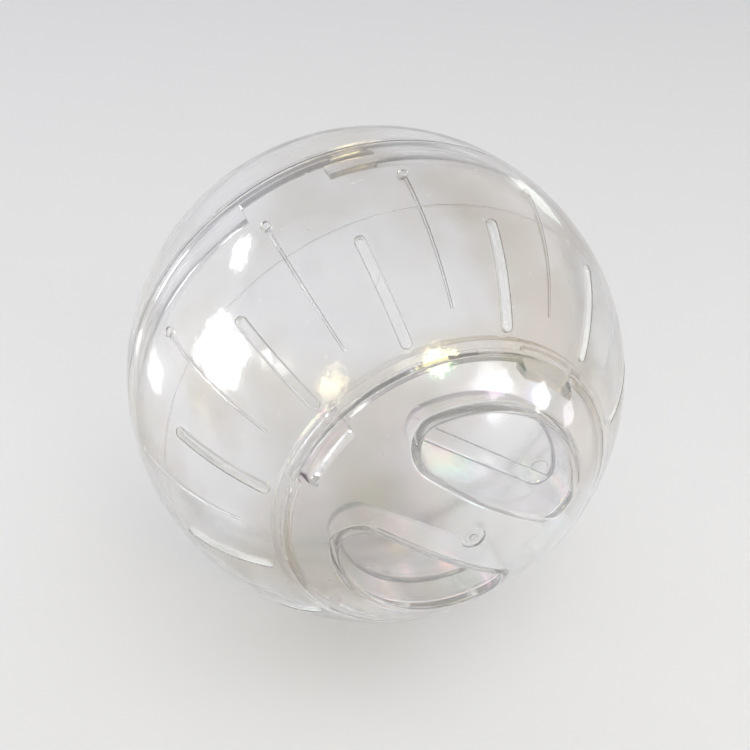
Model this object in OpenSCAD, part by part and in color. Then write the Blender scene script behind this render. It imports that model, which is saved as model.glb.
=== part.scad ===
// Clear exercise ball for a hamster: two moulded half shells that twist together at the
// middle, and a round door with a finger grip that hooks into the front half.
// The ball's axis runs along Y, the door faces -Y, +Z is up and the origin is the centre.

/* [Ball] */
// Outside diameter of the ball
ball_d = 120; // [116:1:150]
// Thickness of the moulded walls
wall = 1.6; // [1.2:0.1:2]
// Gap between the rims of the two halves
seam_gap = 0.2; // [0.1:0.05:0.4]

/* [Air slots] */
// How many slots go round the front half
slot_count = 12; // [8:1:14]
// Width of a slot
slot_w = 1.9; // [1.2:0.1:2.6]
// Length of a slot over its round ends
slot_len = 24.2; // [16:0.2:26]
// Distance from the edge of the door opening to the slots
slot_from_door = 4.6; // [3.6:0.2:7]
// Turn of the first slot from +X towards +Z
slot_turn = 13.5; // [0:0.5:30]

/* [Grip ribs] */
// Width of a rib on the inside of the front half
rib_w = 0.8; // [0.6:0.1:1.4]
// Height of a rib at its end near the middle of the ball
rib_h = 0.9; // [0.6:0.1:1.4]
// Height of a rib at its end near the door
rib_end_h = 0.35; // [0.2:0.05:0.6]
// Length of a rib
rib_len = 33.5; // [24:0.5:34]
// Distance from the seam to the ribs
rib_from_seam = 12.8; // [11:0.2:15]
// Diameter of the ejector boss on the end of a rib
boss_d = 2.2; // [1.6:0.1:3]
// Height of the ejector boss
boss_h = 1.2; // [0.8:0.1:1.6]

/* [Door opening] */
// Diameter of the door opening
door_d = 71.4; // [66:0.2:74]
// Width of the ledge that the lid's rim lies on
ledge_w = 2.1; // [1.6:0.1:2.6]
// Thickness of the ledge
ledge_t = 1.3; // [1:0.1:1.8]
// Thickness of the collar that carries the ledge
frame_t = 1.2; // [1:0.1:2]

/* [Lid] */
// Gap between the lid's rim and the door opening
lid_gap = 0.35; // [0.3:0.05:0.6]
// Gap between the lid and the ledge that it lies on, and between the ledge and the hooks
seat_gap = 0.3; // [0.3:0.05:0.5]
// Turn of the grip bar from +X towards +Z
bar_turn = -36.7; // [-90:0.1:90]
// Width of the grip bar at the floor of the finger wells
bar_w = 19.6; // [16:0.2:24]
// Radius of the outer wall of a finger well at its floor
well_r = 24.7; // [22:0.1:26]
// Depth of the finger wells below the crown of the lid
well_depth = 13.5; // [11:0.1:16]
// Corner radius of a finger well at its floor
corner_r = 3.6; // [2.4:0.1:4.4]
// Lean of the walls of the finger wells
draft = 8; // [3:0.5:9]
// Distance from the middle of the bar to the step in the floor
step_at = 13.1; // [12.4:0.1:15]
// Height of the step in the floor
step_h = 0.4; // [0.2:0.1:0.8]

/* [Hooks] */
// How many hooks hold the lid
hook_count = 4; // [2:1:4]
// Width of a hook in degrees round the lid
hook_deg = 24; // [16:1:28]
// Thickness of the stem of a hook
stem_t = 1.5; // [1.2:0.1:1.8]
// Gap between the stems and the ledge
stem_gap = 0.7; // [0.4:0.1:1]
// How far the foot of a hook reaches under the ledge
foot_catch = 1.3; // [0.9:0.1:1.5]
// Thickness of the foot of a hook
foot_t = 1.4; // [1:0.1:2]
// Room at each side of a hook in its notch, in degrees
notch_room = 1.5; // [1:0.25:3]

/* [Twist collar] */
// Length of the rear half's collar inside the front half
collar_len = 7; // [6:0.1:8]
// Thickness of the collar
collar_t = 1.2; // [1:0.1:1.6]
// Gap between the collar and the front half
collar_gap = 0.3; // [0.2:0.05:0.5]
// Depth of the thick root that carries the collar
root_len = 3.2; // [2.4:0.1:5]
// How many lugs lock the halves together
lug_count = 4; // [2:1:4]
// Width of a lug in degrees round the ball
lug_deg = 8; // [5:0.5:9]
// Thickness of a lug along the ball's axis
lug_t = 1.8; // [1.4:0.1:2.4]
// Distance from the front half's rim to a lug
lug_from_rim = 0.6; // [0.4:0.1:1]
// Room round a lug in its slot
lug_room = 0.3; // [0.2:0.05:0.5]
// Place of the locked end of the first slot, in degrees from +X towards +Z
lock_at = 91.2; // [80:0.2:100]
// Length of the locking stretch of a slot, in degrees
lock_deg = 11; // [10.5:0.5:14]
// Length of the open entry of a slot, in degrees
entry_deg = 19; // [12:0.5:24]

/* [Moulding marks] */
// Diameter of the gate recess at each pole
gate_d = 5; // [4:0.2:6]
// Depth of the gate recess
gate_depth = 0.4; // [0.3:0.05:0.6]
// Diameter of the gate stub in the recess
stub_d = 1.6; // [1:0.1:2.2]
// Diameter of the ejector pads on the floors of the finger wells
pad_d = 5; // [3.6:0.2:5.6]
// Height of the ejector pads
pad_h = 0.2; // [0.1:0.05:0.4]
// Width of the fine moulding lines on the inside
line_w = 0.4; // [0.3:0.05:0.6]
// Height of the fine moulding lines
line_h = 0.15; // [0.1:0.05:0.3]
// Distance of the moulding line in the front half from the seam
front_line_at = 22.1; // [18:0.5:28]
// Diameter of the moulding ring round the rear pole
rear_ring_d = 41; // [30:1:60]

/* [Hidden] */
$fn = 144;

// Overrun of the cutting shapes
over = 1;

// Radii of the shells, from the outside in
ball_r = ball_d / 2;
inner_r = ball_r - wall;
sink_r = ball_r - wall / 2;
seat_r = inner_r - seat_gap;
under_r = seat_r - ledge_t;
foot_r = under_r - seat_gap;
hook_r = foot_r - foot_t;

// Door opening, ledge and lid, as radii about the ball's axis
door_r = door_d / 2;
ledge_r = door_r - ledge_w;
frame_r = door_r + frame_t;
lid_r = door_r - lid_gap;
stem_r = ledge_r - stem_gap;
catch_r = ledge_r + foot_catch;
door_deg = asin(door_r / ball_r);

// Slots and ribs, as angles from the door's pole
slot_t0 = door_deg + arc_deg(slot_from_door + slot_w / 2);
slot_t1 = slot_t0 + arc_deg(slot_len - slot_w);
rib_t1 = 90 - arc_deg(rib_from_seam);
rib_t0 = rib_t1 - arc_deg(rib_len);
rib_turn = slot_turn + 180 / slot_count;

// Finger wells, in the lid's own frame with the bar along X
floor_z = ball_r - well_depth;
slope = tan(draft);
corner_y = bar_w / 2 + corner_r;
corner_x = sqrt(pow(well_r - corner_r, 2) - pow(corner_y, 2));
pad_turn = atan2(corner_y, corner_x);
pad_from_axis = well_r - corner_r;

// Twist collar: the widest tube that clears the front half at the collar's end
collar_r = sqrt(pow(inner_r, 2) - pow(collar_len, 2)) - collar_gap;
bore_r = collar_r - collar_t;
lug_r = collar_r - collar_t / 2;
lug_z0 = lug_from_rim;
lug_z1 = lug_from_rim + lug_t;

function arc_deg(len) = len / ball_r * 180 / PI;

// Stands the shapes below, drawn with the ball's axis along +Z, on the row's -Y side
module on_axis() {
    rotate([90, 0, 0]) children();
}

// Part of a ring round the axis between two radii, two heights and two angles
module ring_part(r0, r1, z0, z1, a0, a1) {
    rotate([0, 0, a0])
        rotate_extrude(angle = a1 - a0)
            translate([r0, z0])
                square([r1 - r0, z1 - z0]);
}

// Bar along a meridian between two radii, from angle t0 to t1 from the pole
module meridian_bar(r0, r1, w, t0, t1) {
    rotate([90, 0, 0])
        rotate([0, 0, 90 - t1])
            rotate_extrude(angle = t1 - t0)
                translate([r0, -w / 2])
                    square([r1 - r0, w]);
}

// Round peg that points out from the centre at angle t from the pole
module peg(r0, r1, d, t) {
    rotate([0, t, 0])
        translate([0, 0, r0])
            cylinder(h = r1 - r0, d = d);
}

// Shell between two spheres
module shell(r_out, r_in) {
    difference() {
        sphere(r = r_out);
        sphere(r = r_in);
    }
}

// Everything above a height on the axis, for cutting
module above(z) {
    translate([0, 0, z]) cylinder(h = 2 * ball_r, r = ball_r + over);
}

// Everything below a height on the axis, for cutting
module below(z) {
    translate([0, 0, z - 2 * ball_r]) cylinder(h = 2 * ball_r, r = ball_r + over);
}

module air_slot() {
    meridian_bar(inner_r - over, ball_r + over, slot_w, slot_t0, slot_t1);
    peg(inner_r - over, ball_r + over, slot_w, slot_t0);
    peg(inner_r - over, ball_r + over, slot_w, slot_t1);
}

// A rib's crest is a flatter arc than the wall, so it fades towards the door
module grip_rib() {
    chord = 2 * sin((rib_t1 - rib_t0) / 2);
    shift = (rib_h - rib_end_h) / pow(chord, 2);
    crest_x = shift * (sin(rib_t0) - sin(rib_t1));
    crest_z = shift * (cos(rib_t0) - cos(rib_t1));
    crest_r = inner_r - rib_end_h - crest_x * sin(rib_t0) - crest_z * cos(rib_t0);
    difference() {
        meridian_bar(inner_r - 2 * rib_h, sink_r, rib_w, rib_t0, rib_t1);
        translate([crest_x, 0, crest_z])
            rotate([90, 0, 0])
                cylinder(h = rib_w + 2 * over, r = crest_r, center = true);
    }
    peg(inner_r - boss_h, sink_r, boss_d, rib_t1);
}

// Fine raised line round the inside of the wall at a height on the axis
module mould_line(z) {
    difference() {
        intersection() {
            sphere(r = sink_r);
            translate([0, 0, z - line_w / 2]) cylinder(h = line_w, r = ball_r);
        }
        sphere(r = inner_r - line_h);
    }
}

// Recess round the gate, cut into the outside at the pole
module gate_recess() {
    translate([0, 0, ball_r - gate_depth]) cylinder(h = gate_depth + over, d = gate_d);
}

// Stub of the gate, just below the surface of the ball
module gate_stub() {
    translate([0, 0, sink_r]) cylinder(h = wall / 2 - gate_depth / 4, d = stub_d);
}

// Collar round the door opening, stepped in to a ledge with notches for the hooks
module door_frame() {
    difference() {
        union() {
            difference() {
                intersection() {
                    sphere(r = seat_r);
                    cylinder(h = ball_r, r = frame_r);
                }
                sphere(r = under_r);
                cylinder(h = ball_r, r = ledge_r);
            }
            difference() {
                intersection() {
                    sphere(r = sink_r);
                    cylinder(h = ball_r, r = frame_r);
                }
                sphere(r = under_r);
                cylinder(h = ball_r, r = door_r);
            }
        }
        for (i = [0 : hook_count - 1])
            rotate([0, 0, bar_turn + i * 360 / hook_count])
                ring_part(ledge_r - over, door_r, 0, ball_r,
                          -hook_deg / 2 - notch_room, hook_deg / 2 + notch_room);
    }
}

// Lugs inside the front half's rim that lock in the slots of the collar
module lugs() {
    for (i = [0 : lug_count - 1])
        rotate([0, 0, lock_at + lock_deg / 2 + i * 360 / lug_count])
            ring_part(lug_r, sink_r, lug_z0, lug_z1, -lug_deg / 2, lug_deg / 2);
}

module front_half() {
    color([0.86, 0.86, 0.88, 0.4]) on_axis() {
        difference() {
            sphere(r = ball_r);
            sphere(r = inner_r);
            below(0);
            cylinder(h = 2 * ball_r, r = door_r);
            for (i = [0 : slot_count - 1])
                rotate([0, 0, slot_turn + i * 360 / slot_count]) air_slot();
        }
        door_frame();
        lugs();
        mould_line(front_line_at);
        for (i = [0 : slot_count - 1])
            rotate([0, 0, rib_turn + i * 360 / slot_count]) grip_rib();
    }
}

// Bent slot through the collar: an open entry and a locking stretch under a finger
module twist_slot() {
    ring_part(bore_r - over, collar_r + over, lug_z0 - lug_room, collar_len + over,
              lock_at + lock_deg, lock_at + lock_deg + entry_deg);
    ring_part(bore_r - over, collar_r + over, lug_z0 - lug_room, lug_z1 + lug_room,
              lock_at, lock_at + lock_deg + entry_deg / 2);
}

// Collar on the rear half, with the thick root that joins it to the wall
module twist_collar() {
    difference() {
        union() {
            translate([0, 0, -root_len]) cylinder(h = root_len + collar_len, r = collar_r);
            intersection() {
                sphere(r = sink_r);
                translate([0, 0, -root_len]) cylinder(h = root_len - seam_gap, r = ball_r);
            }
        }
        translate([0, 0, -root_len - over]) cylinder(h = root_len + collar_len + 2 * over, r = bore_r);
        // the root tapers back to the wall
        translate([0, 0, -root_len])
            cylinder(h = root_len - seam_gap, r1 = inner_r, r2 = bore_r);
        for (i = [0 : lug_count - 1])
            rotate([0, 0, i * 360 / lug_count]) twist_slot();
    }
}

module rear_half() {
    color([0.84, 0.85, 0.88, 0.4]) on_axis() {
        difference() {
            shell(ball_r, inner_r);
            above(-seam_gap);
            mirror([0, 0, 1]) gate_recess();
        }
        twist_collar();
        mirror([0, 0, 1]) gate_stub();
        mould_line(-sqrt(pow(inner_r, 2) - pow(rear_ring_d / 2, 2)));
    }
}

// How far the walls of a finger well have leaned out at a height
function lean(z) = (z - floor_z) * slope;

// Drafted D with round corners between two heights, its flat side along the bar.
// It is an arc wall, a flat wall and two cones, which all lean out by the draft.
module well(grow, z0, z1) {
    bar0 = bar_w / 2 - grow - lean(z0);
    bar1 = bar_w / 2 - grow - lean(z1);
    spread = ball_r / corner_y;
    intersection() {
        translate([0, 0, z0])
            cylinder(h = z1 - z0, r1 = well_r + grow + lean(z0), r2 = well_r + grow + lean(z1));
        translate([0, 0, z0])
            linear_extrude(height = z1 - z0)
                polygon([[0, 0], [spread * corner_x, ball_r], [-spread * corner_x, ball_r]]);
        rotate([90, 0, 90])
            linear_extrude(height = 2 * ball_r, center = true)
                polygon([[bar0, z0], [ball_r, z0], [ball_r, z1], [bar1, z1]]);
    }
    rotate([90, 0, 90])
        linear_extrude(height = 2 * corner_x, center = true)
            polygon([[bar0, z0], [corner_y, z0], [corner_y, z1], [bar1, z1]]);
    for (side = [-1, 1])
        translate([side * corner_x, corner_y, z0])
            cylinder(h = z1 - z0, r1 = corner_r + grow + lean(z0), r2 = corner_r + grow + lean(z1));
}

// Step along the bar side of a well's floor, which runs into the walls round it
module floor_step() {
    intersection() {
        well(wall / 2, floor_z - wall / 2, floor_z + step_h);
        translate([-ball_r, 0, 0]) cube([2 * ball_r, step_at, ball_r]);
    }
}

// Round ejector pad in one corner of a well's floor
module ejector_pad() {
    rotate([0, 0, pad_turn])
        translate([pad_from_axis, 0, floor_z - wall / 2])
            cylinder(h = wall / 2 + pad_h, d = pad_d);
}

// Hook under the lid's rim: a stem and a foot that turns out under the ledge
module hook() {
    difference() {
        intersection() {
            sphere(r = sink_r);
            ring_part(stem_r - stem_t, stem_r, 0, ball_r, -hook_deg / 2, hook_deg / 2);
        }
        sphere(r = hook_r);
    }
    difference() {
        intersection() {
            sphere(r = foot_r);
            ring_part(stem_r - stem_t, catch_r, 0, ball_r, -hook_deg / 2, hook_deg / 2);
        }
        sphere(r = hook_r);
    }
}

module lid() {
    color([0.88, 0.88, 0.9, 0.4]) on_axis() rotate([0, 0, bar_turn]) {
        difference() {
            union() {
                intersection() {
                    shell(ball_r, inner_r);
                    cylinder(h = ball_r, r = lid_r);
                }
                for (side = [0, 180])
                    rotate([0, 0, side])
                        intersection() {
                            sphere(r = sink_r);
                            well(wall, floor_z - wall, ball_r);
                        }
            }
            for (side = [0, 180])
                rotate([0, 0, side]) well(0, floor_z, ball_r + over);
            gate_recess();
        }
        gate_stub();
        for (side = [0, 180])
            rotate([0, 0, side]) {
                floor_step();
                ejector_pad();
            }
        for (i = [0 : hook_count - 1])
            rotate([0, 0, i * 360 / hook_count]) hook();
    }
}

front_half();
rear_half();
lid();
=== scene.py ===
# Clear hamster ball: two moulded half shells and a hooked lid on a pale studio floor.
# Shapes are drawn in millimetres about the ball's own axis, with +Z towards the door,
# and toRow turns them into the frame's metres.
from math import acos, asin, atan2, ceil, cos, degrees, hypot, pi, radians, sin, sqrt, tan
import bmesh
import bpy
import numpy as np
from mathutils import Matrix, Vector


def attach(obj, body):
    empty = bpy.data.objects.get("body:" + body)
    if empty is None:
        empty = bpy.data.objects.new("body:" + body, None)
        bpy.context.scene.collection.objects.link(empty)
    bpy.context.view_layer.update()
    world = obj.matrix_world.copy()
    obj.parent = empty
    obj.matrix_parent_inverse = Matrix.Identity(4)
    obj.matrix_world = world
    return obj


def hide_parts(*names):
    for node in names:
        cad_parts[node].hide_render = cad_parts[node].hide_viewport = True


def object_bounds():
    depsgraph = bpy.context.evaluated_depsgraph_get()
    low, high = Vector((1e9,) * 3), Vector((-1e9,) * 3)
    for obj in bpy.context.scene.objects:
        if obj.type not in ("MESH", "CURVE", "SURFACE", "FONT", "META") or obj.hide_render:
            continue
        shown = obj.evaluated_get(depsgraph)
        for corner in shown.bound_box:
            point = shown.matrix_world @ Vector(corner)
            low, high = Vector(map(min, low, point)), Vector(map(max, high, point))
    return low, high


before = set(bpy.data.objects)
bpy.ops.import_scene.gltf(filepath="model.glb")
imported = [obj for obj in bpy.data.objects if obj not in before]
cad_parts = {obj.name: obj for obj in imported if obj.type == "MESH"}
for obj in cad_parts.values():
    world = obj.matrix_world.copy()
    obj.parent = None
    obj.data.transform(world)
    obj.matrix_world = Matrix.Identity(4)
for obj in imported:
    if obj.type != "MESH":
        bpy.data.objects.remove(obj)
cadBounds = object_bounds()
scene = bpy.context.scene
mm = 0.001
print("frame loaded:", ", ".join(sorted(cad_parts)))

# What every piece is fitted to
ball = {
    "radius": (cadBounds[1].z - cadBounds[0].z) / 2 / mm,
    "wall": 1.6,
    "segments": 240,  # round the axis
    "pointStep": 1.5,  # between points along a profile
    "turnStep": 1.5,  # degrees between the sections of a swept part
    "edgeRound": 0.3,
    "weld": 0.0005,
    "sharpAngle": 38,
    "normalReach": 20,  # degrees that a corner may lean away from its true surface
    "onSphere": 0.01,
    "onFlat": 0.001,
}
wall = ball["wall"]
ballR = ball["radius"]
innerR = ballR - wall
sinkR = ballR - wall / 2
soft = ball["edgeRound"]
over = 1.0  # how far a cutter runs past what it cuts


def addObject(name, data):
    obj = bpy.data.objects.new(name, data)
    scene.collection.objects.link(obj)
    return obj


def toRow(point):
    return (point[0] * mm, -point[2] * mm, point[1] * mm)


def makeObject(name, points, faces):
    mesh = bpy.data.meshes.new(name)
    mesh.from_pydata([toRow(p) for p in points], [], faces)
    shape = bmesh.new()
    shape.from_mesh(mesh)
    bmesh.ops.remove_doubles(shape, verts=shape.verts, dist=ball["weld"] * mm)
    if shape.calc_volume(signed=True) < 0:
        bmesh.ops.reverse_faces(shape, faces=shape.faces)
    shape.to_mesh(mesh)
    shape.free()
    return addObject(name, mesh)


def loft(name, rings):
    count = len(rings[0])
    points = [p for ring in rings for p in ring]
    faces = [list(range(count)), list(range(len(points) - count, len(points)))[::-1]]
    for k in range(len(rings) - 1):
        for i in range(count):
            a, b = k * count + i, k * count + (i + 1) % count
            faces.append([a, a + count, b + count, b])
    return makeObject(name, points, faces)


# Profiles are lists of (distance from the axis, height on the axis)
def arcRun(radius, fromDeg, toDeg):
    length = abs(toDeg - fromDeg) * pi / 180 * radius
    steps = max(2, ceil(length / ball["pointStep"]))
    angles = [radians(fromDeg + (toDeg - fromDeg) * k / steps) for k in range(steps + 1)]
    return [(radius * sin(a), radius * cos(a)) for a in angles]


def poleAngle(radius, fromAxis):
    return degrees(asin(fromAxis / radius))


def heightAt(radius, fromAxis):
    return sqrt(radius ** 2 - fromAxis ** 2)


# Arc on a sphere, from one distance from the axis to another
def sphereRun(radius, start, end):
    return arcRun(radius, poleAngle(radius, start), poleAngle(radius, end))


# Upright line at a distance from the axis, from one sphere to another
def uprightRun(fromAxis, fromR, toR):
    return [(fromAxis, heightAt(fromR, fromAxis)), (fromAxis, heightAt(toR, fromAxis))]


# Straight runs from corner to corner, and back to the first one
def straightRuns(corners):
    return [[corner, corners[(k + 1) % len(corners)]] for k, corner in enumerate(corners)]


def trimStart(run, cut):
    left = cut
    for k in range(len(run) - 1):
        a, b = Vector(run[k]), Vector(run[k + 1])
        length = (b - a).length
        if left < length:
            return [tuple(a + (b - a) * (left / length))] + list(run[k + 1:])
        left -= length
    return [run[-1]]


# Joins runs of points, and rounds the corner after each run over its cut length
def softPath(runs, cuts, closed=True, steps=8):
    path = []
    for k, run in enumerate(runs):
        before = cuts[k - 1] if closed or k else 0
        after = cuts[k] if closed or k < len(runs) - 1 else 0
        body = trimStart(run, before)
        body = trimStart(body[::-1], after)[::-1]
        if path and Vector(path[-1]) - Vector(body[0]) == Vector((0, 0)):
            body = body[1:]
        path += body
        if after:
            nextRun = runs[(k + 1) % len(runs)]
            a, c, b = Vector(path[-1]), Vector(run[-1]), Vector(trimStart(nextRun, after)[0])
            for n in range(1, steps):
                s = n / steps
                path.append(tuple(a * (1 - s) ** 2 + c * 2 * s * (1 - s) + b * s ** 2))
            if k < len(runs) - 1:
                path.append(tuple(b))
    return path


# Fine raised line across a profile's inner arc, at an angle from the pole
line = {"width": 0.4, "height": 0.15, "crestShare": 0.6}
lineHalf = degrees(line["width"] / 2 / innerR)


def lineBump(atDeg):
    crest = lineHalf * line["crestShare"]
    spots = [(-lineHalf, 0), (-crest, line["height"]), (crest, line["height"]), (lineHalf, 0)]
    turned = [(innerR - h, radians(atDeg + d)) for d, h in spots]
    return [(r * sin(a), r * cos(a)) for r, a in turned]


# Adds any node with its settings and its links, and gives one of its outputs
def addNode(tree, kind, values=None, out=0, **settings):
    node = tree.nodes.new(kind)
    for key, value in settings.items():
        setattr(node, key, value)
    for key, value in (values or {}).items():
        if isinstance(value, bpy.types.NodeSocket):
            tree.links.new(value, node.inputs[key])
        else:
            node.inputs[key].default_value = value
    return node.outputs[out] if len(node.outputs) else None


def addMath(tree, operation, *values, kind="ShaderNodeMath"):
    return addNode(tree, kind, dict(enumerate(values)), operation=operation)


def addRange(tree, value, fromMin, fromMax, toMin=0.0, toMax=1.0, easing="LINEAR"):
    values = {"Value": value, "From Min": fromMin, "From Max": fromMax, "To Min": toMin, "To Max": toMax}
    return addNode(tree, "ShaderNodeMapRange", values, interpolation_type=easing)


def addColourMix(tree, share, first, second):
    return addNode(tree, "ShaderNodeMix", {0: share, 6: first, 7: second}, out=2, data_type="RGBA")


# Noise whose lumps have a size in millimetres, with a seed on its fourth axis
def addNoise(tree, place, size, detail, seed=None):
    values = {"Vector": place, "Scale": 1 / (size * mm), "Detail": detail}
    if seed is None:
        return addNode(tree, "ShaderNodeTexNoise", values, out="Fac")
    values["W"] = seed
    return addNode(tree, "ShaderNodeTexNoise", values, noise_dimensions="4D", out="Fac")


def emptyTree(owner):
    owner.use_nodes = True
    owner.node_tree.nodes.clear()
    return owner.node_tree


# Mixes two shaders into the tree's output
def endShader(tree, owner, share, first, second):
    both = addNode(tree, "ShaderNodeMixShader", {0: share, 1: first, 2: second})
    addNode(tree, "ShaderNodeOutput" + owner, {"Surface": both})


def newGeometryTree(name, inputs):
    tree = bpy.data.node_groups.new(name, "GeometryNodeTree")
    tree.interface.new_socket("Geometry", in_out="INPUT", socket_type="NodeSocketGeometry")
    for label, kind in (*inputs, ("Material", "Material")):
        tree.interface.new_socket(label, in_out="INPUT", socket_type="NodeSocket" + kind)
    tree.interface.new_socket("Geometry", in_out="OUTPUT", socket_type="NodeSocketGeometry")
    return tree, addNode(tree, "NodeGroupInput").node.outputs


def endTree(tree, geometry, material):
    single = addNode(tree, "GeometryNodeRealizeInstances", {"Geometry": geometry})
    coated = addNode(tree, "GeometryNodeSetMaterial", {"Geometry": single, "Material": material})
    addNode(tree, "NodeGroupOutput", {0: coated})
    return tree


# Turns a profile, given as a line of points, round the ball's axis
def buildTurnTree():
    tree, given = newGeometryTree("turned shell", [("Segments", "Int"), ("Closed", "Bool")])
    whole = "FunctionNodeIntegerMath"
    count = addNode(tree, "GeometryNodeAttributeDomainSize", {0: given["Geometry"]}, out="Point Count")
    columns = addMath(tree, "ADD", count, given["Closed"], kind=whole)
    rows = addMath(tree, "ADD", given["Segments"], 1, kind=whole)
    grid = addNode(tree, "GeometryNodeMeshGrid", {"Vertices X": columns, "Vertices Y": rows})
    index = addNode(tree, "GeometryNodeInputIndex")
    column = addMath(tree, "DIVIDE_FLOOR", index, rows, kind=whole)
    row = addMath(tree, "MODULO", index, rows, kind=whole)
    onProfile = addMath(tree, "MODULO", column, count, kind=whole)
    spots = addNode(tree, "GeometryNodeInputPosition")
    sample = {"Geometry": given["Geometry"], "Value": spots, "Index": onProfile}
    spot = addNode(tree, "GeometryNodeSampleIndex", sample, data_type="FLOAT_VECTOR")
    share = addMath(tree, "DIVIDE", row, given["Segments"])
    angle = addMath(tree, "MULTIPLY", share, 2 * pi)
    turned = addNode(tree, "ShaderNodeVectorRotate", {"Vector": spot, "Axis": (0, -1, 0), "Angle": angle})
    placed = addNode(tree, "GeometryNodeSetPosition", {"Geometry": grid, "Position": turned})
    seam = {"Geometry": placed, "Distance": ball["weld"] * mm}
    closed = addNode(tree, "GeometryNodeMergeByDistance", seam)
    return endTree(tree, closed, given["Material"])


# Sets copies of a piece round the ball's axis, and cuts them out of the mesh or joins them to it
def buildRingTree(name, operation):
    tree, given = newGeometryTree(name, [("Piece", "Object"), ("Count", "Int"), ("First Turn", "Float")])
    piece = addNode(tree, "GeometryNodeObjectInfo", {"Object": given["Piece"]}, out="Geometry")
    points = addNode(tree, "GeometryNodePoints", {"Count": given["Count"]})
    index = addNode(tree, "GeometryNodeInputIndex")
    step = addMath(tree, "DIVIDE", 360.0, given["Count"])
    turnDeg = addMath(tree, "MULTIPLY_ADD", index, step, given["First Turn"])
    angle = addMath(tree, "RADIANS", turnDeg)
    turn = addNode(tree, "FunctionNodeAxisAngleToRotation", {"Axis": (0, -1, 0), "Angle": angle})
    placing = {"Points": points, "Instance": piece, "Rotation": turn}
    copies = addNode(tree, "GeometryNodeInstanceOnPoints", placing)
    ring = addNode(tree, "GeometryNodeRealizeInstances", {"Geometry": copies})
    joined = addNode(tree, "GeometryNodeMeshBoolean", operation=operation, solver="MANIFOLD")
    sockets = joined.node.inputs
    tree.links.new(given["Geometry"], sockets[0 if operation == "DIFFERENCE" else 1])
    tree.links.new(ring, sockets[1])
    return endTree(tree, joined, given["Material"])


turnTree = buildTurnTree()
cutTree = buildRingTree("ring of cuts", "DIFFERENCE")
joinTree = buildRingTree("ring of pieces", "UNION")


def addTree(obj, tree, values):
    modifier = obj.modifiers.new(tree.name, "NODES")
    modifier.node_group = tree
    for item in tree.interface.items_tree:
        if item.in_out == "INPUT" and item.name in values:
            modifier[item.identifier] = values[item.name]


# Gives every corner on one of the piece's true spheres or flats that surface's own direction
def trueNormals(mesh, spheres, flats):
    mesh.polygons.foreach_set("use_smooth", [True] * len(mesh.polygons))
    mesh.set_sharp_from_angle(angle=radians(ball["sharpAngle"]))
    spots = np.empty(len(mesh.vertices) * 3)
    mesh.vertices.foreach_get("co", spots)
    spots = spots.reshape(-1, 3) / mm
    corners = np.empty(len(mesh.loops), dtype=int)
    mesh.loops.foreach_get("vertex_index", corners)
    normals = np.empty(len(mesh.loops) * 3)
    mesh.corner_normals.foreach_get("vector", normals)
    normals = normals.reshape(-1, 3)
    at = spots[corners]
    length = np.linalg.norm(at, axis=1)
    nearly = cos(radians(ball["normalReach"]))
    towardsDoor = np.array([[0.0, -1.0, 0.0]])
    true = [(np.abs(length - r) < ball["onSphere"], at / length[:, None]) for r in spheres]
    true += [(np.abs(-at[:, 1] - z) < ball["onFlat"], towardsDoor) for z in flats]
    for there, way in true:
        agree = (normals * way).sum(1)
        hit = there & (np.abs(agree) > nearly)
        normals[hit] = (way * np.sign(agree)[:, None])[hit]
    mesh.normals_split_custom_set(normals.tolist())


# Runs a piece's cuts and joins, given as (tree, tool, count, first turn), and turns the stack of
# trees into a plain mesh with soft and sharp edges
def finishPiece(obj, name, steps, material, spheres, flats):
    for tree, tool, count, turn in steps:
        addTree(obj, tree, {"Piece": tool, "Count": count, "First Turn": turn, "Material": material})
    graph = bpy.context.evaluated_depsgraph_get()
    mesh = bpy.data.meshes.new_from_object(obj.evaluated_get(graph))
    obj.modifiers.clear()
    obj.data = mesh
    obj.name = mesh.name = name
    for step in steps:
        bpy.data.objects.remove(step[1])
    trueNormals(mesh, spheres, flats)
    shape = bmesh.new()
    shape.from_mesh(mesh)
    loose = [e for e in shape.edges if len(e.link_faces) != 2]
    print(
        f"{name}: {len(mesh.polygons)} faces, {len(loose)} open edges, "
        f"{shape.calc_volume(signed=True) / mm ** 3:.0f} cubic mm"
    )
    shape.free()


# A profile that stands in the plane of the axis, turned round it by the first tree
def turnProfile(name, path, material, closed, segments=ball["segments"]):
    mesh = bpy.data.meshes.new(name)
    mesh.from_pydata([toRow((r, 0, z)) for r, z in path], [], [])
    obj = addObject(name, mesh)
    addTree(obj, turnTree, {"Segments": segments, "Closed": closed, "Material": material})
    return obj


# Point at a distance from the centre, an angle from the pole and a distance beside the meridian
def onMeridian(radius, angle, beside):
    flat = sqrt(radius ** 2 - beside ** 2)
    return (flat * sin(angle), beside, flat * cos(angle))


def roundTurn(sides):
    return [2 * pi * k / sides for k in range(sides)]


# Colours are sRGB hex values
def colour(code):
    parts = [int(code[k:k + 2], 16) / 255 for k in (1, 3, 5)]
    linear = [c / 12.92 if c <= 0.04045 else ((c + 0.055) / 1.055) ** 2.4 for c in parts]
    return (*linear, 1.0)


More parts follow.
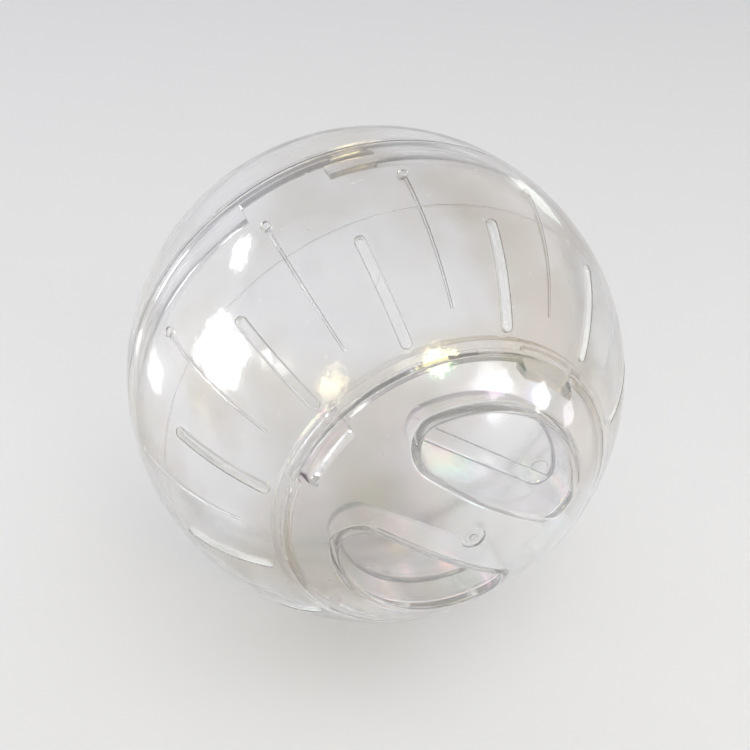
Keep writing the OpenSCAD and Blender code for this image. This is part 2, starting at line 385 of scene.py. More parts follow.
# Injection-moulded clear polystyrene. It is water clear with a hard gloss, so lines bend at every edge
# and lamps show as hard white shapes. Use gives it soft haze, short scuffs and specks; its warm darker
# patches are a painted reflection.
styrene = {
    "ior": 1.59,
    "clearness": 0.96,
    "gloss": 0.012,
    "satin": 0.13,
    "frost": 0.35,
    "frostClearness": 0.4,
    "filmIor": 1.86,
    "filmNoise": (0.3, 0.7),
    "filmThickness": (280.0, 620.0),  # nanometres
    # The haze patches also carry a warm painted reflection in the plastic's colour
    "hazeAndReflectionPatch": 34.0,
    "hazeAndReflectionSeed": 61.2,
    "hazeAndReflectionNoise": (0.44, 0.66),  # from clean to hazy
    "hazeRoughness": 0.03,
    "rippleSize": 16.0,
    "rippleHeight": 0.08,
    "grainSize": 2.2,
    "grainHeight": 0.002,
    "scuffLength": 7.0,
    "scuffSpacing": 0.88,
    "scuffHeight": 0.002,
    "scuffNoise": (0.75, 0.82),
    "scuffTurns": ((0.3, 0.9, 0.4), (1.4, -0.5, 1.9)),
    "speckSpacing": 9.0,
    "speckSize": 0.2,
    "speckCore": 0.6,  # share of a speck that is whole
    "markRoughness": 0.25,
    "shadowTint": "#f6f6f7",
}


# Short straight scuffs along one direction, as a mask
def scuffMask(tree, place, turn):
    along, across = 1 / (styrene["scuffLength"] * mm), 1 / (styrene["scuffSpacing"] * mm)
    laying = {"Vector": place, "Rotation": turn, "Scale": (along, across, across)}
    laid = addNode(tree, "ShaderNodeMapping", laying)
    streaks = addNode(tree, "ShaderNodeTexNoise", {"Vector": laid, "Scale": 1.0, "Detail": 1.0}, out="Fac")
    return addRange(tree, streaks, *styrene["scuffNoise"])


# Small round specks, as a mask
def speckMask(tree, place):
    cells = {"Vector": place, "Scale": 1 / (styrene["speckSpacing"] * mm)}
    away = addNode(tree, "ShaderNodeTexVoronoi", cells, out="Distance")
    share = styrene["speckSize"] / styrene["speckSpacing"]
    return addRange(tree, away, share, styrene["speckCore"] * share)


def clearStyrene(name, tint, wornAndReflectionTint, gloss="gloss", clearness="clearness", rainbow=False):
    material = bpy.data.materials.new(name)
    tree = emptyTree(material)
    place = addNode(tree, "ShaderNodeTexCoord", out="Object")
    # Patches of real haze, whose warm tint is a painted reflection of the room
    patches = addNoise(tree, place, styrene["hazeAndReflectionPatch"], 3.0, styrene["hazeAndReflectionSeed"])
    wearAndReflection = addRange(tree, patches, *styrene["hazeAndReflectionNoise"], easing="SMOOTHSTEP")
    scuffs = addMath(tree, "MAXIMUM", *[scuffMask(tree, place, turn) for turn in styrene["scuffTurns"]])
    marks = addMath(tree, "MAXIMUM", scuffs, speckMask(tree, place))
    polish = addRange(tree, wearAndReflection, 0.0, 1.0, styrene[gloss], styrene[gloss] + styrene["hazeRoughness"])
    normal = None
    for height, size in (
        (addNoise(tree, place, styrene["rippleSize"], 1.0), styrene["rippleHeight"]),
        (addNoise(tree, place, styrene["grainSize"], 2.0), styrene["grainHeight"]),
        (marks, -styrene["scuffHeight"]),
    ):
        values = {"Strength": 1.0, "Distance": abs(size) * mm, "Height": height}
        if normal:
            values["Normal"] = normal
        normal = addNode(tree, "ShaderNodeBump", values, invert=size < 0)
    values = {
        "Base Color": addColourMix(tree, wearAndReflection, colour(tint), colour(wornAndReflectionTint)),
        "Roughness": addMath(tree, "MULTIPLY_ADD", marks, styrene["markRoughness"], polish),
        "IOR": styrene["ior"],
        "Transmission Weight": styrene[clearness],
        "Normal": normal,
    }
    if rainbow:
        film = addRange(tree, patches, *styrene["filmNoise"], *styrene["filmThickness"])
        values |= {"Thin Film Thickness": film, "Thin Film IOR": styrene["filmIor"]}
    plastic = addNode(tree, "ShaderNodeBsdfPrincipled", values)
    passing = addNode(tree, "ShaderNodeBsdfTransparent", {"Color": colour(styrene["shadowTint"])})
    isShadow = addNode(tree, "ShaderNodeLightPath", out="Is Shadow Ray")
    endShader(tree, "Material", isShadow, plastic, passing)
    return material


# The second tint of each is the warm painted reflection in its haze patches
frontPlastic = clearStyrene("clearStyreneMouldedFront", "#fdfdfe", "#e8e2d9")
rearPlastic = clearStyrene("clearStyreneMouldedRear", "#fcfcfe", "#f0ede8")
lidPlastic = clearStyrene("clearStyreneMouldedLid", "#fdfdfe", "#e7e0d7")
# The inner faces keep the fine satin of the mould's core, which blurs whatever lies far behind them
corePlastic = clearStyrene("clearStyreneCoreSatin", "#fdfdfe", "#e8e2d9", "satin")
# The rounded edges get a grey tint, a painted shade that draws them as thin grey lines
paintedShadeEdgePlastic = clearStyrene("clearStyrenePaintedShadeEdges", "#c8c8cc", "#c8c5c1")
# The stress left in the wells' walls shows as a faint rainbow
wellPlastic = clearStyrene("clearStyreneStressedWells", "#fdfdfe", "#f0ece6", "satin", rainbow=True)
# The slots' walls are whitened by the blades that shape them, so they read silvery white
slotPlastic = clearStyrene("clearStyreneFrostedSlotWall", "#ffffff", "#fafaf8", "frost", "frostClearness")
print("materials made")

# Front half: shell with the air slots, the ribs, the lugs and the door's collar
slots = {
    "count": 12,
    "width": 1.9,
    "length": 24.2,
    "fromDoor": 4.6,
    "firstTurn": 13.5,
    "lip": 0.35,
    "lipBends": (62, 45, 25, 0),  # degrees, from the face of the wall inwards
    "capRise": 3.0,
    "longSteps": 24,
    "endSteps": 12,
}
ribs = {
    "width": 0.74,
    "height": 0.9,
    "endHeight": 0.35,
    "tipShare": 0.55,  # of the height, at the rib's very end
    "length": 33.5,
    "fromSeam": 12.8,
    "slimEnd": 0.45,
    "steps": 36,
    "crestClear": 0.1,
    "crestBends": (0.0, 0.3, 0.6, 0.9, 1.2, 1.45),
    "rootFlare": 0.08,
    "flareBend": 0.3,
    "sunkFlare": 0.8,
    "bossRadius": 1.1,
    "bossHeight": 1.2,
    "bossRound": 0.3,
    "bossBends": (0.0, 0.5, 1.0, 1.57),
    "bossSides": 32,
}
door = {
    "radius": 35.7,
    "ledge": 2.1,
    "ledgeThickness": 1.3,
    "collar": 1.2,
    "seatGap": 0.3,
    "lidGap": 0.16,
    "mouthRound": 0.6,  # share of an edge's round
    "lineFromSeam": 22.1,
    "notchGroove": 0.05,
}
lugs = {
    "count": 4,
    "halfDeg": 4,
    "fromRim": 0.6,
    "thickness": 1.8,
    "endRound": 0.25,
    "lockAt": 91.2,
    "lockDeg": 11,
    "entryDeg": 19,
    "room": 0.3,
}
collar = {
    "length": 7,
    "thickness": 1.2,
    "gap": 0.3,
    "root": 3.2,
    "seamGap": 0.2,
    "ringRadius": 20.5,
    "cutStep": 1.2,  # between points along a bent slot
}
gate = {
    "radius": 2.5,
    "depth": 0.4,
    "stubRadius": 0.8,
    "stubDrop": 0.1,
    "segments": 48,
    # the lid's gate is softer: offsets from its rim, its foot, the stub's foot and the stub's top
    "rimCurve": ((0.9, over), (0.3, 0.12), (0.1, -0.1), (0.0, -0.2)),
    "footCurve": ((-0.05, 0.06), (-0.15, 0.0)),
    "stubFoot": ((0.15, 0.0), (0.04, 0.06)),
    "stubTop": ((0.0, -0.06), (-0.06, 0.0)),
}
lid = {
    "barTurn": -36.7,
    "barWidth": 19.6,
    "wellRadius": 24.7,
    "wellDepth": 13.5,
    "cornerRadius": 3.6,
    "draft": 8,
    "stepAt": 13.1,
    "stepHeight": 0.4,
    "stepRound": 0.15,
    "padRadius": 2.5,
    "padHeight": 0.2,
    "padRows": ((0.28, 0.03), (0.4, 0.0)),  # inwards and down from the pad's top edge
    "padFoot": 0.02,
    "padSides": 48,
    "mouthRound": 0.85,
    "rootRound": 0.6,
    "floorRound": 0.8,
    "underRound": 0.8,  # of the wall, added to the floor's round behind it
    "rimRound": 0.2,
}
hooks = {
    "count": 4,
    "halfDeg": 12,
    "stem": 1.5,
    "stemGap": 0.7,
    "catch": 1.3,
    "foot": 1.4,
    "footRound": 1.3,  # share of an edge's round
    "endRound": 0.3,
    "room": 1.5,
}

seatR = innerR - door["seatGap"]
underR = seatR - door["ledgeThickness"]
footR = underR - door["seatGap"]
hookR = footR - hooks["foot"]
doorR = door["radius"]
ledgeR = doorR - door["ledge"]
frameR = doorR + door["collar"]
lidR = doorR - door["lidGap"]
doorDeg = poleAngle(ballR, doorR)
collarR = sqrt(innerR ** 2 - collar["length"] ** 2) - collar["gap"]
boreR = collarR - collar["thickness"]
lugR = collarR - collar["thickness"] / 2
lugLow = lugs["fromRim"]
lugHigh = lugLow + lugs["thickness"]


def arcDeg(length):
    return length / ballR * 180 / pi


def frontProfile():
    lineDeg = degrees(acos(door["lineFromSeam"] / innerR))
    runs = [
        arcRun(ballR, doorDeg, 90),
        [(ballR, 0), (innerR, 0)],
        arcRun(innerR, 90, lineDeg + lineHalf),
        lineBump(lineDeg)[::-1],
        arcRun(innerR, lineDeg - lineHalf, poleAngle(innerR, frameR)),
        uprightRun(frameR, innerR, underR),
        sphereRun(underR, frameR, ledgeR),
        uprightRun(ledgeR, underR, seatR),
        sphereRun(seatR, ledgeR, doorR),
        uprightRun(doorR, seatR, ballR),
    ]
    cuts = [soft, soft, 0, 0, soft, soft, soft, soft, soft, door["mouthRound"] * soft]
    return softPath(runs, cuts)


def rearProfile():
    gap, top = collar["seamGap"], collar["length"]
    zRing = heightAt(innerR, collar["ringRadius"])
    ringDeg = 180 - degrees(acos(zRing / innerR))
    # where the root's taper leaves the wall
    run, rise = innerR - boreR, collar["root"] - gap
    a, b = run ** 2 + rise ** 2, -2 * (innerR * run + collar["root"] * rise)
    share = (-b - sqrt(b ** 2 - 4 * a * collar["root"] ** 2)) / (2 * a)
    leave = (innerR - share * run, -collar["root"] + share * rise)
    leaveDeg = 90 + degrees(atan2(-leave[1], leave[0]))
    gateR, stubR = gate["radius"], gate["stubRadius"]
    low, stubLow = -(ballR - gate["depth"]), -(ballR - gate["stubDrop"])
    collarCorners = [leave, (boreR, -gap), (boreR, top), (collarR, top), (collarR, -gap)]
    collarCorners += [(heightAt(ballR, gap), -gap)]
    gateCorners = [(gateR, -heightAt(ballR, gateR)), (gateR, low), (stubR, low)]
    gateCorners += [(stubR, stubLow), (0, stubLow)]
    runs = [
        arcRun(innerR, 180, ringDeg + lineHalf),
        lineBump(ringDeg)[::-1],
        arcRun(innerR, ringDeg - lineHalf, leaveDeg),
        *straightRuns(collarCorners)[:-1],
        arcRun(ballR, 90 + degrees(gap / ballR), 180 - poleAngle(ballR, gateR)),
        *straightRuns(gateCorners)[:-1],
    ]
    cuts = [0, 0] + [soft] * 6 + [soft / 2] * 4 + [0]
    return softPath(runs, cuts, closed=False)


# Cutter for one air slot: a bar with round ends that spreads at both faces of the wall
def slotCutter():
    t0 = radians(doorDeg + arcDeg(slots["fromDoor"] + slots["width"] / 2))
    t1 = t0 + radians(arcDeg(slots["length"] - slots["width"]))
    lip = slots["lip"]
    bend = [radians(d) for d in slots["lipBends"]]
    widest = lip * (1 - cos(bend[0])) + lip * tan(bend[0])
    # the caps are flat across a curved bar, so they stand well clear of the wall
    rows = [(ballR + slots["capRise"], widest), (ballR + lip, widest)]
    rows += [(ballR - lip * (sin(bend[0]) - sin(a)), lip * (1 - cos(a))) for a in bend]
    inside = [(innerR + (ballR - r), o) for r, o in rows[::-1]]
    steps = slots["longSteps"]
    rings = []
    for radius, grow in rows + inside:
        ring = []
        for start, end, side in ((t0, t1, 1), (t1, t0, -1)):
            half = side * (slots["width"] / 2 + grow)
            for k in range(steps + 1):
                ring.append(onMeridian(radius, start + (end - start) * k / steps, half))
            for k in range(1, slots["endSteps"]):
                a = pi * k / slots["endSteps"]
                ring.append(onMeridian(radius, end + half * sin(a) / radius, half * cos(a)))
        rings.append(ring)
    return loft("slotCutter", rings)


# Side of a rib's or a boss's foot, which stands in the wall and flares where it leaves it
def flaredFoot(half, sunk=1.0):
    flare = ribs["rootFlare"]
    bend = ribs["flareBend"] * flare
    foot = [(half + sunk * flare, sinkR), (half + flare, innerR)]
    return foot + [(half + bend, innerR - bend), (half, innerR - flare)]


# One grip rib, low at the door and higher at the seam, with a round crest and a flared root
def ribBar():
    t1 = radians(90 - arcDeg(ribs["fromSeam"]))
    t0 = t1 - radians(arcDeg(ribs["length"]))
    chord = 2 * sin((t1 - t0) / 2)
    shift = (ribs["height"] - ribs["endHeight"]) / chord ** 2
    rings = []
    for k in range(ribs["steps"] + 1):
        t = t0 + (t1 - t0) * k / ribs["steps"]
        rise = shift * (1 - cos(t1 - t0) - cos(t - t0) + cos(t - t1))
        height = ribs["endHeight"] + rise
        slim = ribs["width"] / 2 * (ribs["slimEnd"] + (1 - ribs["slimEnd"]) * height / ribs["height"])
        if k == 0:
            height *= ribs["tipShare"]
        crest = min(slim, height - ribs["crestClear"])
        side = flaredFoot(slim, ribs["sunkFlare"])
        side += [(slim * cos(a), innerR - height + crest * (1 - sin(a))) for a in ribs["crestBends"]]
        outline = side + [(-x, r) for x, r in side[::-1]]
        rings.append([onMeridian(r, t, x) for x, r in outline])
    return loft("ribBar", rings)


# Round boss where a rib ends near the seam
def ribBoss():
    t = radians(90 - arcDeg(ribs["fromSeam"]))
    along = Vector((sin(t), 0, cos(t)))
    across = Vector((cos(t), 0, -sin(t)))
    side = Vector((0, 1, 0))
    radius, bend = ribs["bossRadius"], ribs["bossRound"]
    top = innerR - ribs["bossHeight"]
    rows = flaredFoot(radius)
    rows += [(radius - bend * (1 - cos(a)), top + bend * (1 - sin(a))) for a in ribs["bossBends"]]
    turn = roundTurn(ribs["bossSides"])
    rings = [[tuple(along * h + across * r * cos(a) + side * r * sin(a)) for a in turn] for r, h in rows]
    return loft("ribBoss", rings)


def insetOutline(outline, inset):
    following = outline[1:] + outline[:1]
    area = sum(here[0] * after[1] - after[0] * here[1] for here, after in zip(outline, following))
    sign = 1 if area > 0 else -1
    moved = []
    for k, spot in enumerate(outline):
        before, here, after = Vector(outline[k - 1]), Vector(spot), Vector(following[k])
        along = (after - here).normalized() + (here - before).normalized()
        along.normalize()
        moved.append(tuple(here + Vector((-along.y, along.x)) * sign * inset))
    return moved


# Sweeps an outline of (distance from the axis, height) round part of a turn, with rounded ends
def sweptPart(name, outline, halfDeg, endRound=0.0, bend=0.3):
    radius = max(r for r, z in outline)
    ends = [(0.0, endRound), (bend, bend * endRound), (1.0, 0.0)] if endRound else [(0.0, 0.0)]
    places = [(-halfDeg + degrees(s * endRound / radius), d) for s, d in ends]
    steps = max(2, ceil(halfDeg * 2 / ball["turnStep"]))
    first = places[-1][0]
    places += [(first + (-2 * first) * k / steps, 0.0) for k in range(1, steps)]
    places += [(-a, d) for a, d in places[:len(ends)][::-1]]
    rings = []
    for deg, inset in places:
        a = radians(deg)
        shape = insetOutline(outline, inset) if inset else outline
        rings.append([(r * cos(a), r * sin(a), z) for r, z in shape])
    return loft(name, rings)


def lugPiece():
    runs = straightRuns([(sinkR, lugLow), (sinkR, lugHigh), (lugR, lugHigh), (lugR, lugLow)])
    return sweptPart("lugPiece", softPath(runs, [0, soft, soft, 0]), lugs["halfDeg"], lugs["endRound"])


# Cutter for one notch in the ledge, a little deeper than the door's wall
def notchCutter():
    outer, inner = doorR + door["notchGroove"], ledgeR - over
    high = heightAt(seatR, doorR) + soft
    low = heightAt(underR, doorR) - 2 * over
    outline = [(outer, low), (outer, high), (inner, heightAt(seatR, inner) + over), (inner, low)]
    return sweptPart("notchCutter", outline, hooks["halfDeg"] + hooks["room"])


# Cutter for one bent slot in the twist collar
def bentSlotCutter():
    low, high, top = lugLow - lugs["room"], lugHigh + lugs["room"], collar["length"] + over
    perDeg = collarR * pi / 180
    a, b = lugs["lockAt"] * perDeg, (lugs["lockAt"] + lugs["lockDeg"]) * perDeg
    c = b + lugs["entryDeg"] * perDeg
    runs = []
    for start, end in straightRuns([(a, low), (c, low), (c, top), (b, top), (b, high), (a, high)]):
        pieces = max(2, ceil((Vector(end) - Vector(start)).length / collar["cutStep"]))
        runs.append([tuple(Vector(start).lerp(Vector(end), n / pieces)) for n in range(pieces + 1)])
    outline = softPath(runs, [2 * soft, 0, 0, soft, 2 * soft, 2 * soft])
    turned = [(cos(s / collarR), sin(s / collarR), z) for s, z in outline]
    rings = [[(r * x, r * y, z) for x, y, z in turned] for r in (boreR - over, ballR + over)]
    return loft("bentSlotCutter", rings)


# Slots and ribs take turns round the axis, and the lugs stand in the middle of their locks
front = turnProfile("frontProfile", frontProfile(), frontPlastic, closed=True)
ribTurn = slots["firstTurn"] + 180 / slots["count"]
frontSteps = [
    (cutTree, slotCutter(), slots["count"], slots["firstTurn"]),
    (cutTree, notchCutter(), hooks["count"], lid["barTurn"]),
    (joinTree, ribBar(), slots["count"], ribTurn),
    (joinTree, ribBoss(), slots["count"], ribTurn),
    (joinTree, lugPiece(), lugs["count"], lugs["lockAt"] + lugs["lockDeg"] / 2),
]
finishPiece(front, "frontShell", frontSteps, frontPlastic, [ballR, innerR, seatR, underR], [0])

# How faces are picked for another material, mostly by how far their normals point away from the
# centre: 1 is straight out and -1 straight in
picks = {
    "core": -0.7,
    "slotWall": 0.35,
    "edge": (0.3, 0.93),
    "wellEdge": (0.25, 0.95),
    "wellSide": -0.3,
    "onWall": 0.05,
    "bandMargin": 1.0,
}


def markFaces(mesh, material, picked):
    mesh.materials.append(material)
    for face in mesh.polygons:
        if picked(face):
            face.material_index = len(mesh.materials) - 1


def outwards(face):
    return face.normal.dot(face.center.normalized())


def axisDistance(face):
    return hypot(face.center.x, face.center.z) / mm


def heightOf(face):
    return -face.center.y / mm


# The inner faces, but for the band where the twist collar lies right behind the wall
def onCoreSide(face):
    inBand = heightOf(face) < collar["length"] + picks["bandMargin"]
    return not inBand and outwards(face) < picks["core"]


# Slots are found by their angle from the pole and their distance beside the nearest slot's middle
def onSlotWall(face):
    middle = Vector((face.center.x, face.center.z, -face.center.y)) / mm
    step = 360 / slots["count"]
    turn = degrees(atan2(middle.y, middle.x)) - slots["firstTurn"]
    beside = hypot(middle.x, middle.y) * sin(radians((turn + step / 2) % step - step / 2))
    low = doorDeg + arcDeg(slots["fromDoor"] - slots["lip"])
    high = low + arcDeg(slots["length"] + 2 * slots["lip"])
    deg = degrees(acos(middle.z / middle.length))
    upright = abs(outwards(face)) < picks["slotWall"]
    return upright and low < deg < high and abs(beside) < slots["width"] / 2 + slots["lip"]


# Rounded edges stand neither along the ball's surface nor across it, and so do the door's walls
def onEdge(face):
    least, most = picks["edge"]
    onWall = min(abs(axisDistance(face) - r) for r in (frameR, ledgeR, doorR)) < picks["onWall"]
    return not onWall and least < abs(outwards(face)) < most


# The rounded edges take the grey painted shade
markFaces(front.data, paintedShadeEdgePlastic, onEdge)
markFaces(front.data, corePlastic, onCoreSide)
markFaces(front.data, slotPlastic, onSlotWall)

# Rear half: plain shell with the twist collar
rear = turnProfile("rearProfile", rearProfile(), rearPlastic, closed=False)
rearSteps = [(cutTree, bentSlotCutter(), lugs["count"], 0.0)]
rearFlats = [-collar["seamGap"], collar["length"]]
finishPiece(rear, "rearShell", rearSteps, rearPlastic, [ballR, innerR], rearFlats)
# The rounded edges take the grey painted shade
markFaces(rear.data, paintedShadeEdgePlastic, onEdge)

# Lid: a cap with two drafted D-shaped finger wells. Each half is a sheet of loops that run from
# the half disc's edge into the well, and the two halves meet along the middle of the grip bar.
skin = {
    "lineSteps": 44,
    "cornerSteps": 35,
    "arcSteps": 76,
    "flatSteps": 14,  # of a corner's steps
    "flatReach": 0.62,  # share of the half disc's flat side that faces the well's straight side
    "spreadSteps": 14,
    "roundSteps": 14,
    "wallSteps": 9,
    "floorShares": (0.9, 0.75, 0.55, 0.35, 0.15),
    "onRim": 1e-6,
}
floorZ = ballR - lid["wellDepth"]
draft = radians(lid["draft"])
upWall = np.array([sin(draft), cos(draft)])
offWall = np.array([cos(draft), -sin(draft)])
barY, wellR, cornerR = lid["barWidth"] / 2, lid["wellRadius"], lid["cornerRadius"]
cornerY = barY + cornerR
cornerX = sqrt((wellR - cornerR) ** 2 - cornerY ** 2)
cornerTurn = atan2(cornerY, cornerX)


# Outline of a well at its floor: points, outward normals and where each meets the half disc's edge
def wellOutline(edgeR):
    points, normals, edge = [], [], []
    reach = skin["flatReach"] * edgeR
    cornerSteps, flatSteps = skin["cornerSteps"], skin["flatSteps"]

    def addPoint(x, y, turn, edgeAt, side=1):
        points.append((side * x, y))
        normals.append((side * cos(turn), sin(turn)))
        edge.append((side * edgeAt[0], edgeAt[1]))

    # A corner's first steps stay on the half disc's flat side, and the others go round its rim
    def addCorner(step, side):
        a = -pi / 2 + (cornerTurn + pi / 2) * step / cornerSteps
        x, y = cornerX + cornerR * cos(a), cornerY + cornerR * sin(a)
        if step < flatSteps:
            edgeAt = (reach + (edgeR - reach) * step / flatSteps, 0)
        else:
            turn = cornerTurn * (step - flatSteps) / (cornerSteps - flatSteps)
            edgeAt = (edgeR * cos(turn), edgeR * sin(turn))
        addPoint(x, y, a, edgeAt, side)

    for k in range(skin["lineSteps"]):
        s = 2 * k / skin["lineSteps"] - 1
        addPoint(s * cornerX, barY, -pi / 2, (s * reach, 0))
    for k in range(cornerSteps):
        addCorner(k, 1)
    for k in range(skin["arcSteps"]):
        a = cornerTurn + (pi - 2 * cornerTurn) * k / skin["arcSteps"]
        addPoint(wellR * cos(a), wellR * sin(a), a, (edgeR * cos(a), edgeR * sin(a)))
    for k in range(cornerSteps, 0, -1):
        addCorner(k, -1)
    return np.array(points), np.array(normals), np.array(edge)


def roundPoints(middle, size, first, last):
    angles = np.linspace(first, last, skin["roundSteps"] + 1)
    return [middle + size * np.array([cos(a), sin(a)]) for a in angles]


# Points of the round between a sphere and a drafted wall, as (growth, height) in one upright section
def mouthSection(point, normal, wallAt, sphereR, size):
    side = point[0] * -normal[1] + point[1] * normal[0]
    centre = np.array([-(point[0] * normal[0] + point[1] * normal[1]), 0.0])
    sectionR = sqrt(sphereR ** 2 - side ** 2)
    start = np.array([wallAt, floorZ]) + offWall * size - centre
    b = start @ upWall
    s = -b + sqrt(b ** 2 - start @ start + (sectionR - size) ** 2)
    middle = start + upWall * s + centre
    top = (middle - centre) / np.linalg.norm(middle - centre)
    return roundPoints(middle, size, atan2(top[1], top[0]), atan2(-offWall[1], -offWall[0]))


# Points of the round between a drafted wall and a flat at a height
def footSection(wallAt, flatZ, size):
    s = (flatZ - floorZ + size * (1 - sin(draft))) / cos(draft)
    middle = np.array([wallAt, floorZ]) + s * upWall - size * offWall
    return roundPoints(middle, size, -draft, -pi / 2)


# Loops of one half of the lid's skin, from the edge to the middle of the well's floor
def skinLoops(edgeR, sphereR, wallAt, flatZ, mouthSize, footSize):
    points, normals, edge = wellOutline(edgeR)
    count = len(points)
    mouths = np.array([mouthSection(p, n, wallAt, sphereR, mouthSize) for p, n in zip(points, normals)])
    foot = footSection(wallAt, flatZ, footSize)

    def grownLoop(section):
        return np.column_stack([points + normals * section[:, :1], section[:, 1]])

    firstXY = grownLoop(mouths[:, 0])[:, :2]
    loops = []
    for n in range(skin["spreadSteps"]):
        s = n / skin["spreadSteps"]
        xy = edge * (1 - s) + firstXY * s
        loops.append(np.column_stack([xy, np.sqrt(sphereR ** 2 - (xy ** 2).sum(1))]))
    loops += [grownLoop(mouths[:, n]) for n in range(skin["roundSteps"] + 1)]
    for n in range(1, skin["wallSteps"]):
        s = n / skin["wallSteps"]
        loops.append(grownLoop(mouths[:, -1] * (1 - s) + foot[0] * s))
    loops += [grownLoop(np.tile(spot, (count, 1))) for spot in foot]
    last = loops[-1]
    centre = last.mean(0)
    return loops + [centre + (last - centre) * s for s in skin["floorShares"]]


# The whole lid but for its small parts: outer skin, inner skin and rim, for the two halves
def lidMesh():
    points, faces = [], []

    # Adds a sheet of loops, and a last face across its middle where the loops are closed
    def addLoops(loops, turn, flip, closed=True):
        sign = -1 if turn else 1
        start = len(points)
        count = len(loops[0])
        for loop in loops:
            points.extend([(sign * p[0], sign * p[1], p[2]) for p in loop])
        made = []
        for n in range(len(loops) - 1):
            for k in range(count if closed else count - 1):
                a, b = start + n * count + k, start + n * count + (k + 1) % count
                made.append([a, b, b + count, a + count])
        if closed:
            made.append(list(range(len(points) - count, len(points))))
        faces.extend([face[::-1] if flip else face for face in made])

    rimRuns = [sphereRun(ballR, 0, lidR), uprightRun(lidR, ballR, innerR), sphereRun(innerR, lidR, 0)]
    path = softPath(rimRuns, [lid["rimRound"], lid["rimRound"], 0], closed=False)
    topCount = len(trimStart(rimRuns[0][::-1], lid["rimRound"]))
    lowCount = len(trimStart(rimRuns[2], lid["rimRound"]))
    rim = path[topCount - 1:len(path) - lowCount + 1]
    topR, lowR = rim[0][0], rim[-1][0]
    rim = [(topR, heightAt(ballR, topR))] + rim[1:-1] + [(lowR, heightAt(innerR, lowR))]
    top = skinLoops(topR, ballR, 0.0, floorZ, lid["mouthRound"], lid["floorRound"])
    underRound = lid["floorRound"] + lid["underRound"] * wall
    low = skinLoops(lowR, innerR, wall, floorZ - wall, lid["rootRound"], underRound)
    onRim = [spot for spot in wellOutline(1.0)[2] if abs(hypot(*spot) - 1) < skin["onRim"]]
    for turn in (False, True):
        addLoops(top, turn, False)
        addLoops(low, turn, True)
        addLoops([[(r * x, r * y, z) for x, y in onRim] for r, z in rim], turn, True, closed=False)
    return points, faces


lidPoints, lidFaces = lidMesh()
turnBy = radians(lid["barTurn"])
lidPoints = [
    (x * cos(turnBy) - y * sin(turnBy), x * sin(turnBy) + y * cos(turnBy), z)
    for x, y, z in lidPoints
]
cover = makeObject("lidSkin", lidPoints, lidFaces)


# Cutter for the sunk ring round the gate's stub
def gateCutter():
    r, stub = gate["radius"], gate["stubRadius"]
    low, high = ballR - gate["depth"], ballR - gate["stubDrop"]
    path = [(0, ballR + over)]
    for fromR, fromZ, curve in (
        (r, ballR, "rimCurve"),
        (r, low, "footCurve"),
        (stub, low, "stubFoot"),
        (stub, high, "stubTop"),
    ):
        path += [(fromR + x, fromZ + z) for x, z in gate[curve]]
    path += [(0, high)]
    return turnProfile("gateCutter", path, lidPlastic, closed=False, segments=gate["segments"])


# One hook, whose foot turns out under the ledge
def hookPiece():
    stemOut = ledgeR - hooks["stemGap"]
    stemIn = stemOut - hooks["stem"]
    tip = ledgeR + hooks["catch"]
    corners = [(stemOut, sinkR), (stemOut, footR), (tip, footR), (tip, hookR)]
    corners += [(stemIn, hookR), (stemIn, sinkR)]
    runs = straightRuns([(x, heightAt(radius, x)) for x, radius in corners])
    cuts = [soft] + [hooks["footRound"] * soft] * 3 + [0, 0]
    return sweptPart("hookPiece", softPath(runs, cuts), hooks["halfDeg"], hooks["endRound"])


# Low step along the bar side of a well's floor
def stepPiece():
    points, normals, _ = wellOutline(lidR)
    grown = np.roll(points + normals * wall / 2, skin["cornerSteps"], axis=0)
    outline = [tuple(p) for p in grown if p[1] < lid["stepAt"]]
    spread, top, bend = outline[-1][0], floorZ + lid["stepHeight"], lid["stepRound"]
    rings = []
    for z, back in ((floorZ - wall / 2, 0), (top - bend, 0), (top, bend)):
        ring = [(x, y, z) for x, y in outline]
        ring += [(spread, lid["stepAt"] - back, z), (-spread, lid["stepAt"] - back, z)]
        rings.append(ring)
    return loft("stepPiece", rings)


# Low round pad in a corner of a well's floor
def padPiece():
    r, top = lid["padRadius"], floorZ + lid["padHeight"]
    rows = [(r, floorZ - wall / 2), (r, floorZ + lid["padFoot"])]
    rows += [(r - inwards, top - down) for inwards, down in lid["padRows"]]
    turn = roundTurn(lid["padSides"])
    rings = [[(cornerX + out * cos(a), cornerY + out * sin(a), z) for a in turn] for out, z in rows]
    return loft("padPiece", rings)


coverSteps = [
    (cutTree, gateCutter(), 1, 0.0),
    (joinTree, hookPiece(), hooks["count"], lid["barTurn"]),
    (joinTree, stepPiece(), 2, lid["barTurn"]),
    (joinTree, padPiece(), 2, lid["barTurn"]),
]
floors = [floorZ, floorZ - wall, floorZ + lid["stepHeight"], floorZ + lid["padHeight"]]
finishPiece(cover, "lidCap", coverSteps, lidPlastic, [ballR, innerR, footR, hookR], floors)


# Rounds round a well's floor, its step and its pad
def onWellEdge(face):
    least, most = picks["wellEdge"]
    low = heightOf(face) < floorZ + lid["floorRound"]
    inWell = low and axisDistance(face) < wellR + wall
    return inWell and least < abs(face.normal.y) < most


markFaces(cover.data, wellPlastic, lambda face: face.normal.y > picks["wellSide"])
# The rounded edges of the wells take the grey painted shade
markFaces(cover.data, paintedShadeEdgePlastic, onWellEdge)

for obj, body, node, slot in (
    (front, "front", "front_half", "clear_front"),
    (rear, "rear", "rear_half", "clear_rear"),
    (cover, "door", "lid", "clear_lid"),
):
    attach(obj, body)
    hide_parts(node)
print("pieces dressed")

